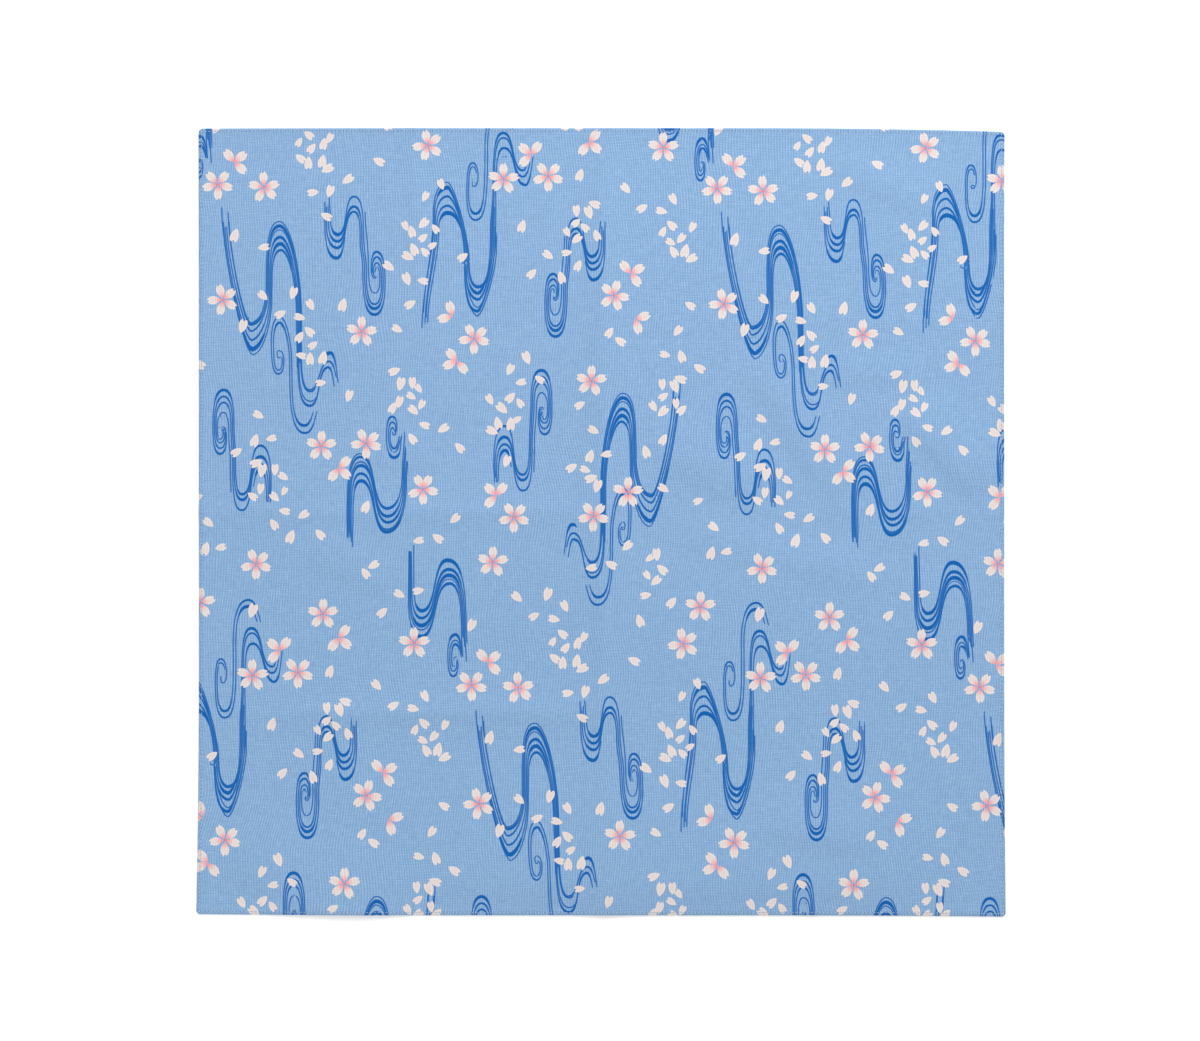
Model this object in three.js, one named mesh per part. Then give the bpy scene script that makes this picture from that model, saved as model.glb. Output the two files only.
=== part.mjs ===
// A furoshiki: a square cotton wrapping cloth with a narrow rolled hem on its four sides.
// It lies open and face up, and keeps the soft creases of the folds that it was stored in.
// Millimetres, +Z up. +Y is the cloth's upper edge and +X its right edge. The origin is
// under the middle of the cloth, on the surface that it lies on.

import * as THREE from 'three';

// The cut and sewn size, measured over the hems.
const clothWidth = 500;
const clothHeight = 487;
const sheetThickness = 1.0;
const hemThickness = 1.8;
const hemWidth = 2.4;
const hemStepWidth = 0.6;
const cornerRounding = 0.8;

// The longest side of a mesh cell, and the finer lines beside a fold's crest.
const cellSize = 15;
const crestOffsets = [-14, -6, 0, 6, 14];

// The hems draw the sides in a little between the corners. An amount is how far a corner
// stands out past its neighbouring side's middle, and a negative one how far it falls short.
const cornerReach = 150;
const corners = [
  { name: 'upperLeft', signX: -1, signY: 1, outX: 0.2, outY: -0.3 },
  { name: 'upperRight', signX: 1, signY: 1, outX: 0.2, outY: -2.3 },
  { name: 'lowerRight', signX: 1, signY: -1, outX: 0.9, outY: 0.8 },
  { name: 'lowerLeft', signX: -1, signY: -1, outX: 1.7, outY: -0.7 },
];
const sideDrawnIn = 0.9;

// The pressed folds and the soft wrinkles. x and y are the middle of a ridge's crest and
// turn is the way that the crest runs, in degrees from +X. Its flanks fall away over left
// and right, seen along the crest, and the crest fades out at reach from its middle.
const folds = [
  { name: 'middle', x: 1, y: 0, turn: 90, reach: 330, left: 24, right: 34, rise: 2.8 },
  { name: 'crossLeft', x: -150, y: 6, turn: 0, reach: 176, left: 10, right: 15, rise: 0.9 },
  { name: 'crossRight', x: 160, y: 6, turn: 0, reach: 116, left: 12, right: 12, rise: 0.3 },
  { name: 'lowerLeft', x: -108, y: -118, turn: 0, reach: 132, left: 20, right: 20, rise: 1.6 },
  { name: 'upperRight', x: 128, y: 125, turn: 0, reach: 138, left: 12, right: 12, rise: 0.35 },
  { name: 'upperQuarter', x: -116, y: 216, turn: 90, reach: 92, left: 13, right: 12, rise: 1.1 },
  { name: 'rightQuarter', x: 195, y: 8, turn: 90, reach: 112, left: 12, right: 24, rise: 0.9 },
  { name: 'lowerQuarter', x: 129, y: -218, turn: 90, reach: 46, left: 12, right: 12, rise: 0.6 },
];
const wrinkles = [
  { name: 'short', x: 170, y: 93, turn: 0, reach: 34, left: 14, right: 12, rise: 0.6 },
  { name: 'side', x: 213, y: 43, turn: -50, reach: 38, left: 34, right: 15, rise: 2.2 },
  { name: 'near', x: 64, y: 35, turn: -28, reach: 46, left: 34, right: 20, rise: 1.5 },
  { name: 'long', x: 122, y: 58, turn: -58, reach: 60, left: 28, right: 17, rise: 1.6 },
  { name: 'low', x: 103, y: -20, turn: -12, reach: 70, left: 22, right: 14, rise: 1.1 },
  { name: 'left', x: -157, y: -28, turn: -23, reach: 36, left: 22, right: 14, rise: 1.1 },
  { name: 'dimple', x: -124, y: 40, turn: 0, reach: 28, left: 22, right: 13, rise: 0.9 },
  { name: 'foot', x: 133, y: -193, turn: -12, reach: 40, left: 26, right: 14, rise: 1.3 },
  { name: 'footRidge', x: -181, y: -224, turn: -25, reach: 70, left: 46, right: 32, rise: 2.7 },
  { name: 'corner', x: 174, y: 207, turn: -24, reach: 44, left: 22, right: 12, rise: 0.9 },
  { name: 'leftSwell', x: -100, y: 2, turn: 0, reach: 140, left: 45, right: 108, rise: 1.5 },
  { name: 'rightSwell', x: 105, y: -42, turn: 0, reach: 128, left: 30, right: 72, rise: 0.8 },
  { name: 'footSwell', x: 40, y: -222, turn: 0, reach: 210, left: 84, right: 24, rise: 2.6 },
];

const halfWidth = clothWidth / 2 - sideDrawnIn;
const halfHeight = clothHeight / 2;

const foldFlank = (share) => (1 - share) ** 2;
const wrinkleFlank = (share) => (1 - share ** 2) ** 2;

function ridgeHeight(ridge, flank, x, y) {
  const turn = THREE.MathUtils.degToRad(ridge.turn);
  const along = (x - ridge.x) * Math.cos(turn) + (y - ridge.y) * Math.sin(turn);
  const across = (y - ridge.y) * Math.cos(turn) - (x - ridge.x) * Math.sin(turn);
  const alongShare = Math.min(1, Math.abs(along) / ridge.reach);
  const acrossShare = Math.min(1, Math.abs(across) / (across > 0 ? ridge.left : ridge.right));
  return ridge.rise * (1 - alongShare ** 4) ** 2 * flank(acrossShare);
}

// The height of the cloth's underside over the surface that it lies on.
function relief(x, y) {
  let height = 0;
  for (const fold of folds) {
    height += ridgeHeight(fold, foldFlank, x, y);
  }
  for (const wrinkle of wrinkles) {
    height += ridgeHeight(wrinkle, wrinkleFlank, x, y);
  }
  return height;
}

// How far a side stands out at a place, from the corners at its two ends.
function pulledOut(amount, ends, place, half) {
  let out = 0;
  for (const corner of ends) {
    const nearness = Math.max(0, 1 - (half - corner.end * place) / cornerReach);
    out += corner[amount] * nearness ** 2;
  }
  return out;
}

// The place in the cloth of a point of the plain rectangle, with its corners rounded.
function outlinePlace(x, y) {
  const signX = Math.sign(x);
  const signY = Math.sign(y);
  const sideEnds = corners.filter((corner) => corner.signX === signX)
    .map((corner) => ({ ...corner, end: corner.signY }));
  const topEnds = corners.filter((corner) => corner.signY === signY)
    .map((corner) => ({ ...corner, end: corner.signX }));
  const isCorner = Math.abs(x) === halfWidth && Math.abs(y) === halfHeight;
  const rounding = isCorner ? cornerRounding : 0;
  const outX = pulledOut('outX', sideEnds, y, halfHeight) * Math.abs(x) / halfWidth;
  const outY = pulledOut('outY', topEnds, x, halfWidth) * Math.abs(y) / halfHeight;
  return { x: x + signX * (outX - rounding), y: y + signY * (outY - rounding) };
}

// Grid lines from one edge to the other: on each stop, and at most a cell apart.
function gridLines(half, crests) {
  const hemLine = half - hemWidth;
  const stepLine = hemLine - hemStepWidth;
  const crestStops = crests.flatMap((crest) => crestOffsets.map((offset) => crest + offset));
  const stops = [-half, -hemLine, -stepLine, ...crestStops, stepLine, hemLine, half];
  const lines = [stops[0]];
  for (let index = 1; index < stops.length; index += 1) {
    const start = stops[index - 1];
    const span = stops[index] - start;
    const cells = Math.ceil(span / cellSize);
    for (let cell = 1; cell <= cells; cell += 1) {
      lines.push(cell === cells ? stops[index] : start + (span * cell) / cells);
    }
  }
  return lines;
}

function crestPlaces(turn, axis) {
  const places = folds.filter((fold) => fold.turn === turn).map((fold) => fold[axis]);
  return [...new Set(places)].sort((a, b) => a - b);
}

// Two triangles for each cell between neighbouring rows of points.
function quads(corner, columnCount, rowCount) {
  const triangles = [];
  for (let row = 0; row < rowCount; row += 1) {
    for (let column = 0; column < columnCount; column += 1) {
      const a = corner(column, row);
      const b = corner(column + 1, row);
      const c = corner(column + 1, row + 1);
      const d = corner(column, row + 1);
      triangles.push(a, b, c, a, c, d);
    }
  }
  return triangles;
}

// The cloth: one closed sheet of even thickness that follows the relief, thicker in its hem.
function clothGeometry() {
  const columns = gridLines(halfWidth, crestPlaces(90, 'x'));
  const rows = gridLines(halfHeight, crestPlaces(0, 'y'));
  const positions = [];
  for (const isFace of [false, true]) {
    for (const rowPlace of rows) {
      for (const columnPlace of columns) {
        const isHem = Math.abs(columnPlace) >= halfWidth - hemWidth
          || Math.abs(rowPlace) >= halfHeight - hemWidth;
        const thickness = isHem ? hemThickness : sheetThickness;
        const place = outlinePlace(columnPlace, rowPlace);
        const underside = relief(place.x, place.y);
        positions.push(place.x, place.y, isFace ? underside + thickness : underside);
      }
    }
  }
  const lastColumn = columns.length - 1;
  const lastRow = rows.length - 1;
  const under = (column, row) => row * columns.length + column;
  const face = (column, row) => rows.length * columns.length + under(column, row);
  const layer = (step) => (step === 0 ? under : face);
  const triangles = [
    quads(face, lastColumn, lastRow),
    quads((column, row) => under(column, lastRow - row), lastColumn, lastRow),
    quads((column, step) => layer(step)(column, 0), lastColumn, 1),
    quads((column, step) => layer(step)(lastColumn - column, lastRow), lastColumn, 1),
    quads((row, step) => layer(step)(0, lastRow - row), lastRow, 1),
    quads((row, step) => layer(step)(lastColumn, row), lastRow, 1),
  ].flat();
  const geometry = new THREE.BufferGeometry();
  geometry.setAttribute('position', new THREE.Float32BufferAttribute(positions, 3));
  geometry.setIndex(triangles);
  geometry.computeVertexNormals();
  return geometry;
}

function printedCotton() {
  return new THREE.MeshStandardMaterial({ color: 0x8eb0d6, roughness: 0.9, metalness: 0 });
}

const cloth = new THREE.Mesh(clothGeometry(), printedCotton());
cloth.name = 'cloth';

const furoshiki = new THREE.Group();
furoshiki.add(cloth);

export default furoshiki;
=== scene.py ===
# A furoshiki lying open and face up: a square of printed cotton with a narrow rolled hem.
# Metres, +Z up. +Y is the cloth's upper edge and +X its right edge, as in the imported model.

import math
from functools import partialmethod

import bpy
import numpy as np
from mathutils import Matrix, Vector


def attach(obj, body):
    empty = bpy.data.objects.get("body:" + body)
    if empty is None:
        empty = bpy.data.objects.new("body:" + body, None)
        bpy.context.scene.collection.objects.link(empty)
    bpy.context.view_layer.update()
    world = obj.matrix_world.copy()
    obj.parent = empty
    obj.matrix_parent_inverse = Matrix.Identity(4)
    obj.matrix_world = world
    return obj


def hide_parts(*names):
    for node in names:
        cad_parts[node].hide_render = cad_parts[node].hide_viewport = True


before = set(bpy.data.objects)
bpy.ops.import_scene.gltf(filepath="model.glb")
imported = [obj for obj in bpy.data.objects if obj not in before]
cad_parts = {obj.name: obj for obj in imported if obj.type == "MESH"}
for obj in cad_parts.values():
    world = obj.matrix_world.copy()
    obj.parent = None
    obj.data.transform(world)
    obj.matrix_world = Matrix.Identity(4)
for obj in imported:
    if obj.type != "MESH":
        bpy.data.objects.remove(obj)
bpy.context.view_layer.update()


# Camera: straight above the cloth, far off with a long lens, as the photo shows it.
# The photo is 1200 pixels wide and 1041 high, and the cloth's middle is at CLOTH_MIDDLE.
PHOTO_WIDTH = 1200
PHOTO_HEIGHT = 1041
CLOTH_MIDDLE = (601.6, 521.7)
PIXEL = 0.0006188
CAMERA_HEIGHT = 3.0


def added(name, data):
    made = bpy.data.objects.new(name, data)
    bpy.context.scene.collection.objects.link(made)
    return made


camera_data = bpy.data.cameras.new("camera")
camera_data.lens = camera_data.sensor_width * CAMERA_HEIGHT / (PHOTO_WIDTH * PIXEL)
camera_data.clip_end = 100
camera = added("camera", camera_data)
camera.location = (
    (PHOTO_WIDTH / 2 - CLOTH_MIDDLE[0]) * PIXEL,
    (CLOTH_MIDDLE[1] - PHOTO_HEIGHT / 2) * PIXEL,
    CAMERA_HEIGHT,
)
bpy.context.scene.camera = camera
bpy.context.scene.view_settings.view_transform = "Standard"


# Cloth: one square of plain woven cotton, printed on its face. It has been stored folded and
# keeps soft creases. Its four sides are rolled under in a hem of three layers.
CLOTH_WIDTH = 0.500
CLOTH_HEIGHT = 0.487
CELL_SIZE = 0.0031
CORNER_REACH = 0.150
CORNER_ROUNDING = 0.0008
ROUNDING_REACH = 0.0024
ROUNDING_POWER = 1.5
SIDE_DRAWN_IN = 0.0009
HALF_WIDTH = CLOTH_WIDTH / 2 - SIDE_DRAWN_IN
HALF_HEIGHT = CLOTH_HEIGHT / 2

# Each corner: its sides, and how far it stands out across and up past its sides' middles.
CORNERS = [
    ("upper left", -1, 1, 0.0002, -0.0003),
    ("upper right", 1, 1, 0.0002, -0.0023),
    ("lower right", 1, -1, 0.0009, 0.0008),
    ("lower left", -1, -1, 0.0017, -0.0007),
]

# Ridges in the cloth, in millimetres: the middle of the crest, the crest's turn from +X in
# degrees, its reach to either end, how far its flanks fall to its left and right, its rise.
MILLIMETRE = 0.001
FOLDS = [
    ("middle", 1, 0, 90, 330, 24, 34, 2.8),
    ("cross left", -150, 6, 0, 176, 10, 15, 0.9),
    ("cross right", 160, 6, 0, 116, 12, 12, 0.3),
    ("lower left", -108, -118, 0, 132, 20, 20, 1.6),
    ("upper right", 128, 125, 0, 138, 12, 12, 0.35),
    ("upper quarter", -116, 216, 90, 92, 13, 12, 1.1),
    ("right quarter", 195, 8, 90, 112, 12, 24, 0.9),
    ("lower quarter", 129, -218, 90, 46, 12, 12, 0.6),
]
WRINKLES = [
    ("short", 170, 93, 0, 34, 14, 12, 0.6),
    ("side", 213, 43, -50, 38, 34, 15, 2.2),
    ("near", 64, 35, -28, 46, 34, 20, 1.5),
    ("long", 122, 58, -58, 60, 28, 17, 1.6),
    ("low", 103, -20, -12, 70, 22, 14, 1.1),
    ("left", -157, -28, -23, 36, 22, 14, 1.1),
    ("dimple", -124, 40, 0, 28, 22, 13, 0.9),
    ("foot", 133, -193, -12, 40, 26, 14, 1.3),
    ("foot ridge", -181, -224, -25, 70, 46, 32, 2.7),
    ("corner", 174, 207, -24, 44, 22, 12, 0.9),
    ("left swell", -100, 2, 0, 140, 45, 108, 1.5),
    ("right swell", 105, -42, 0, 128, 30, 72, 0.8),
    ("foot swell", 40, -222, 0, 210, 84, 24, 2.6),
]

# The hem in section, from its outer edge inwards: how far in, the height of its upper
# surface and the height of its lower one, in millimetres over what the cloth lies on.
HEM_SECTION = [
    (0.0, 0.52, 0.52),
    (0.25, 0.86, 0.16),
    (0.7, 1.02, 0.0),
    (1.3, 1.04, 0.02),
    (1.8, 0.96, 0.18),
    (2.2, 1.0, 0.08),
    (2.4, 0.98, 0.54),
    (3.6, 0.91, 0.46),
    (7.0, 0.74, 0.3),
    (12.0, 0.55, 0.11),
    (18.0, 0.45, 0.0),
]
HEM_TURNED_UNDER = 0.0022
STITCH_INSET = 0.0018
STITCH_PITCH = 0.0024


def crest_fold(share):
    return (1 - share) ** 2


def crest_wrinkle(share):
    return (1 - share**2) ** 2


def ridge_height(ridge, flank, x, y):
    _, middle_x, middle_y, turn, reach, left, right, rise = ridge
    cosine = math.cos(math.radians(turn))
    sine = math.sin(math.radians(turn))
    offset_x = x - middle_x * MILLIMETRE
    offset_y = y - middle_y * MILLIMETRE
    along = offset_x * cosine + offset_y * sine
    across = offset_y * cosine - offset_x * sine
    along_share = np.minimum(1, np.abs(along) / (reach * MILLIMETRE))
    flank_width = np.where(across > 0, left, right) * MILLIMETRE
    across_share = np.minimum(1, np.abs(across) / flank_width)
    return rise * MILLIMETRE * (1 - along_share**4) ** 2 * flank(across_share)


def relief(x, y):
    """The height of the cloth's underside over the surface that it lies on."""
    height = np.zeros_like(x)
    for fold in FOLDS:
        height += ridge_height(fold, crest_fold, x, y)
    for wrinkle in WRINKLES:
        height += ridge_height(wrinkle, crest_wrinkle, x, y)
    return height


def laid_place(cut_x, cut_y):
    """Where a point of the plain rectangle lies: the corners stand out or in, and are rounded."""
    out_x = np.zeros_like(cut_x)
    out_y = np.zeros_like(cut_y)
    for _, sign_x, sign_y, stands_x, stands_y in CORNERS:
        near_x = np.maximum(0, 1 - (HALF_WIDTH - sign_x * cut_x) / CORNER_REACH)
        near_y = np.maximum(0, 1 - (HALF_HEIGHT - sign_y * cut_y) / CORNER_REACH)
        out_x += stands_x * near_y**2 * sign_x * np.maximum(0, sign_x * cut_x) / HALF_WIDTH
        out_y += stands_y * near_x**2 * sign_y * np.maximum(0, sign_y * cut_y) / HALF_HEIGHT
    near_side = np.maximum(0, 1 - (HALF_WIDTH - np.abs(cut_x)) / ROUNDING_REACH)
    near_end = np.maximum(0, 1 - (HALF_HEIGHT - np.abs(cut_y)) / ROUNDING_REACH)
    rounding = CORNER_ROUNDING * (near_side * near_end) ** ROUNDING_POWER
    laid_x = cut_x + out_x - np.sign(cut_x) * rounding
    laid_y = cut_y + out_y - np.sign(cut_y) * rounding
    return laid_x, laid_y


def hem_heights(cut_x, cut_y):
    """The heights of the upper and the lower surface over the relief, at a cut place."""
    inset = np.minimum(HALF_WIDTH - np.abs(cut_x), HALF_HEIGHT - np.abs(cut_y))
    section = np.array(HEM_SECTION) * MILLIMETRE
    upper = np.interp(inset, section[:, 0], section[:, 1])
    lower = np.interp(inset, section[:, 0], section[:, 2])
    return upper, lower


def cut_lines(half):
    """Where the mesh's lines cross the cloth, from one edge to the other."""
    insets = [inset * MILLIMETRE for inset, _, _ in HEM_SECTION]
    inner = half - insets[-1]
    cells = math.ceil(2 * inner / CELL_SIZE)
    middle = np.linspace(-inner, inner, cells + 1)
    edge = np.array(insets[:-1])
    return np.concatenate([-half + edge, middle, (half - edge)[::-1]])


cut_x, cut_y = np.meshgrid(cut_lines(HALF_WIDTH), cut_lines(HALF_HEIGHT))
laid_x, laid_y = laid_place(cut_x, cut_y)
upper, lower = hem_heights(cut_x, cut_y)
ground = relief(laid_x, laid_y)
upper_index = np.arange(cut_x.size).reshape(cut_x.shape)
lower_index = upper_index.copy()
inside = np.zeros(cut_x.shape, dtype=bool)
inside[1:-1, 1:-1] = True
lower_index[inside] = upper_index.size + np.arange(np.count_nonzero(inside))
upper_points = np.stack([laid_x, laid_y, ground + upper], axis=-1).reshape(-1, 3)
lower_points = np.stack([laid_x, laid_y, ground + lower], axis=-1)[inside]


def quads(index, turned):
    """The four corners of each cell of a grid of points, counter-clockwise from outside."""
    corners = [index[:-1, :-1], index[:-1, 1:], index[1:, 1:], index[1:, :-1]]
    if turned:
        corners.reverse()
    return np.stack(corners, axis=-1).reshape(-1, 4)


faces = np.concatenate([quads(upper_index, False), quads(lower_index, True)])
cloth_mesh = bpy.data.meshes.new("cloth_sheet")
cloth_mesh.from_pydata(np.concatenate([upper_points, lower_points]).tolist(), [], faces.tolist())
cloth_mesh.shade_smooth()

# Where each face's corners lie in the cut cloth, and where on the print. The strip that is
# turned under carries the print on past the edge, and the rest of the back shows through.
ROUND_OFF = 1e-6
grid_faces = np.concatenate([quads(upper_index, False), quads(upper_index, True)])
corner_cut = np.stack([cut_x.ravel()[grid_faces], cut_y.ravel()[grid_faces]], axis=-1)
corner_print = np.stack([laid_x.ravel()[grid_faces], laid_y.ravel()[grid_faces]], axis=-1)
is_back = np.arange(len(grid_faces)) >= len(grid_faces) // 2
half_sides = np.array([HALF_WIDTH, HALF_HEIGHT])
corner_inset = half_sides - np.abs(corner_cut)
is_strip = is_back & (corner_inset.min(axis=2).max(axis=1) <= HEM_TURNED_UNDER + ROUND_OFF)
is_wrong_side = is_back & ~is_strip
nearest_side = corner_inset.min(axis=1).argmin(axis=1)
for side in (0, 1):
    chosen = is_strip & (nearest_side == side)
    inset = corner_inset[chosen][:, :, side]
    corner_print[chosen, :, side] += 2 * inset * np.sign(corner_cut[chosen][:, :, side])


# The print's chart, in the photo's pixels. It holds one repeat: the loose petals, the
# blossoms, the sprays of a few petals, and the lines of flowing water.
# A loose petal: its pointed end and the notch at its other end.
LOOSE_PETALS = [
    (237.3, 228.6, 232.7, 241.5), (258, 248, 269.3, 246.5), (318.8, 191.7, 307.5, 193.3),
    (328, 197.4, 331.8, 185.5), (321, 213.6, 331.6, 219), (342.7, 183.3, 352.9, 175.8),
    (304.3, 131.1, 313.2, 138.6), (301.9, 138, 296.6, 146.3), (315.4, 143.8, 308.2, 152.7),
    (324.9, 138, 322.4, 149.7), (327.1, 143.2, 332.1, 133.6), (295.7, 154.7, 304.9, 161.9),
    (308.8, 156.7, 308.2, 169.1), (323.6, 154.7, 321.3, 167.8), (321.6, 171.9, 333.1, 166),
    (373.2, 158.6, 384.3, 164.1), (443.2, 189.7, 439.3, 179.1), (422.7, 201.3, 427.7, 191.9),
    (407.7, 230.8, 403.2, 221.3), (410.4, 225.6, 413.2, 237.4), (419.1, 228, 427.7, 219.1),
    (427.4, 234.3, 419.3, 240.8), (432.4, 224.4, 438.2, 233), (436.9, 242.7, 428.8, 248),
    (411.3, 243.3, 416.6, 255.2), (421, 248, 428.4, 255.6), (413.8, 259.3, 402.4, 253.6),
    (467.7, 253.6, 458.2, 260.2), (394, 270.2, 383.6, 262.7), (524.3, 220, 519.9, 232.2),
    (582, 168.9, 577.9, 180.8), (629.8, 193, 621.8, 184.1), (676, 204.7, 670.7, 194.1),
    (647.3, 204.9, 637.3, 211.3), (667.1, 212.4, 656, 209.7), (576.8, 216.9, 576, 205.2),
    (591, 219.1, 586.8, 206.3), (588.7, 202.2, 600.1, 206.3), (580.1, 219.1, 572.3, 226.3),
    (580.7, 223.6, 588.4, 231.3), (569.8, 236.7, 564.6, 228), (572.3, 243, 581.2, 235.2),
    (594.6, 230, 599, 240.8), (552.9, 258.6, 543.4, 251.6), (572.1, 251.9, 561.8, 253.6),
    (580.7, 260.2, 575.7, 270.8), (667.1, 221.1, 676, 229.3), (665.4, 226.7, 660.7, 236.3),
    (689.8, 232.4, 694.6, 222.4), (677.3, 243, 684.6, 234.1), (675.3, 244.7, 666, 239.7),
    (670.4, 246.3, 676.8, 256.9), (687.1, 244.1, 683.4, 257.4), (685.7, 261.7, 696.8, 255.8),
    (267.4, 299.8, 258.8, 291.8), (291.3, 299.3, 295.2, 287.1), (313.6, 310.1, 307.7, 299.8),
    (344.7, 298.2, 341, 311.2), (285.8, 311.2, 275.4, 316.8), (305.2, 318.8, 294.3, 315.7),
    (240.7, 332.9, 244.7, 319.8), (304.9, 327.3, 313.8, 335.7), (302.9, 331.8, 296.6, 342),
    (317.4, 342, 308.8, 348.2), (295.8, 354.2, 306, 356.8), (310.1, 352.3, 309.9, 364.9),
    (324.7, 350.9, 321.6, 364.2), (326.2, 382.3, 315.8, 383.4), (347.1, 401.8, 350.8, 390.1),
    (263.6, 417.9, 253.6, 412.3), (409.3, 285.4, 404.5, 273), (417.4, 279.9, 428.2, 282),
    (536.1, 269.5, 527.7, 277.8), (415.7, 301, 405.1, 307.3), (402.3, 331.8, 392.4, 326.2),
    (400.2, 368.8, 388.8, 373.4), (399.1, 390.7, 402.1, 377.3), (412.3, 389, 412.4, 377.1),
    (421.6, 392.7, 415.8, 384.6), (415.8, 399, 406.9, 393.4), (397.9, 407.9, 400.7, 396.2),
    (395.8, 402.3, 389.9, 412.9), (417.9, 414.3, 409.1, 406.2), (418.8, 409.4, 424, 400.1),
    (529.1, 364.2, 524.3, 351.8), (507.3, 375.1, 512.7, 364.2), (515.4, 383.4, 526, 381.2),
    (492.7, 404.6, 487.1, 394.6), (514.9, 393.1, 506.2, 401.8), (516.8, 398.4, 522.9, 407.3),
    (506.9, 412.9, 497.1, 403.8), (496.3, 416.7, 499.5, 429.2), (497.9, 433.7, 486.4, 428.3),
    (510.8, 417.1, 510.5, 430.5), (521.7, 416.9, 513.5, 421.6), (559.6, 271.3, 563.1, 283.4),
    (612.9, 327.9, 606.2, 337.3), (615.1, 337.9, 625.1, 344.6), (685.1, 302.6, 695.1, 308.4),
    (674.2, 335.7, 681.2, 326.2), (670.4, 356, 659.9, 353.4), (679.6, 350.1, 683.4, 362.3),
    (694, 364.6, 704.5, 371.5), (662.7, 390.4, 661.8, 379), (677.3, 392.7, 672.3, 380.1),
    (674.6, 376.8, 686.2, 381.2), (667.9, 393.1, 659.3, 399.6), (656.2, 411.2, 650.4, 401.8),
    (676.8, 409.3, 675.4, 398.4), (657.9, 416.2, 667.3, 407.3), (686, 405.7, 677.6, 414.2),
    (535, 376.2, 544, 382.3), (584.8, 402, 575.1, 407.9), (504.6, 467.1, 508.8, 455.5),
    (598.8, 433.2, 588.5, 427.4), (592.3, 449.7, 588, 462.2), (600.5, 455.4, 611.4, 453.3),
    (576.9, 464.3, 566.6, 470.7), (590.3, 471.8, 580.4, 467.6), (597.3, 476, 585.2, 480.4),
    (595.3, 492.7, 599.3, 479.6), (666.3, 434.2, 660.4, 444.7), (644.1, 445.4, 647.9, 457.9),
    (668.5, 491.6, 658.5, 485.4), (622.5, 550.2, 631.7, 541.8), (585.7, 568.8, 596.6, 566.5),
    (605.5, 561.6, 616.3, 567.4), (645.5, 561.2, 653.3, 555.4), (657.1, 560.9, 656.3, 548.2),
    (657.3, 565.2, 666.7, 573.7), (650.2, 579.6, 644.4, 571.3), (651.3, 584.8, 660.4, 577),
    (651.3, 594.2, 640.4, 596.4), (675.9, 597.6, 667.6, 607.1), (567.6, 611.6, 562.2, 600.9),
    (257, 434.1, 252.8, 446.6), (266, 439.6, 276.4, 437.2), (241.9, 448.8, 231.6, 455.1),
    (262.1, 460.4, 250.5, 465.4), (260.8, 477.4, 263.2, 463.6), (274.9, 475.6, 275.3, 464),
    (288.2, 479.6, 278.9, 473.6), (259.6, 494.6, 261.5, 483.5), (282, 495.5, 286.4, 487.2),
    (247.9, 493, 257.2, 499.3), (278.9, 501.1, 270.6, 493), (413.2, 541.8, 423.8, 539.4),
    (432.7, 534.5, 442.9, 541.6), (404.6, 597.1, 394.4, 591.3), (424.1, 589.6, 412.9, 591.8),
    (521.8, 601.4, 512.5, 592.9), (468.5, 631.5, 474.1, 619.5), (408.8, 433.6, 415.7, 443.4),
    (455.3, 443.2, 463.7, 451.9), (368.6, 500.5, 363.8, 512.6), (450.5, 522.9, 459.3, 514.6),
    (279.1, 510.2, 290.2, 512.2), (298.4, 518, 308.8, 511.7), (213.4, 526.4, 204, 518.9),
    (270.9, 519.1, 277.1, 529.4), (293.4, 530, 288.2, 543.1), (315.9, 529.7, 324.3, 538.7),
    (207.6, 542, 203.6, 555), (215.1, 548.7, 226, 546.1), (419.1, 423.1, 429.6, 426.9),
    (438, 432, 448.4, 425.3), (368.4, 568, 378.8, 562.2), (362.1, 568.3, 369, 577.8),
    (703.1, 498.7, 693.6, 503), (250.1, 617.8, 254.9, 603.9), (387.1, 608, 378, 616.4),
    (539, 613.1, 529.4, 618.9), (545.1, 600.9, 549.8, 588), (559.8, 620.3, 548.4, 617.8),
    (637.6, 614.4, 642, 626.7),
]

# A blossom: its middle, and the way that each petal points, in degrees from the right.
BLOSSOMS = [
    (217.7, 184.3, 132, 50, -15, -88, 196), (264, 187.2, 93, 15, -43, -117, 168),
    (427.8, 145.4, 100, 38, -35, -106, 188), (503.6, 178.9, 91, 10, -58, -134, 164),
    (548.1, 176.1, 129, 47, -18, -89, 200), (663.2, 147.8, 90, 15, -54, -128, 163),
    (222.9, 299.8, 105, 40, -31, -102, 183), (361.6, 331.8, 90, 8, -57, -131, 162),
    (474.1, 338.7, 117, 42, -15, -91, 188), (614, 295.7, 76, -8, -69, -141, 138),
    (591.4, 380.9, 89, 13, -64, -137, 163), (593.5, 516.3, 126, 49, -14, -92, 192),
    (627.9, 492.3, 88, 14, -60, -118, 161), (321.3, 446.2, 88, 17, -54, -130, 159),
    (366.2, 443.6, 116, 41, -15, -90, 185), (423.1, 489.2, 118, 61, -12, -89, 204),
    (493, 561.9, 90, 14, -59, -136, 161), (323, 614.1, 88, 19, -53, -130, 162),
    (700.3, 606.7, 88, 16, -58, -128, 161), (256.1, 564.1, 113, 44, -18, -90, 196),
    (514.1, 517.2, 122, 49, -18, -91, 197),
]
SPRAYS = [
    (234.3, 162.4, 128, 39, -42), (531, 154.7, 139.5, 52, -135), (589, 142.4, 49, -39, -127),
    (630.7, 273.6, 130, 30, -52), (635.3, 319, 17, -74), (452.7, 316.2, 106, 194),
    (457.1, 361, 131, -156, -51), (338.6, 468, 43, -40, -125), (496.2, 495.5, 135, 50, -133),
]

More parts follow.
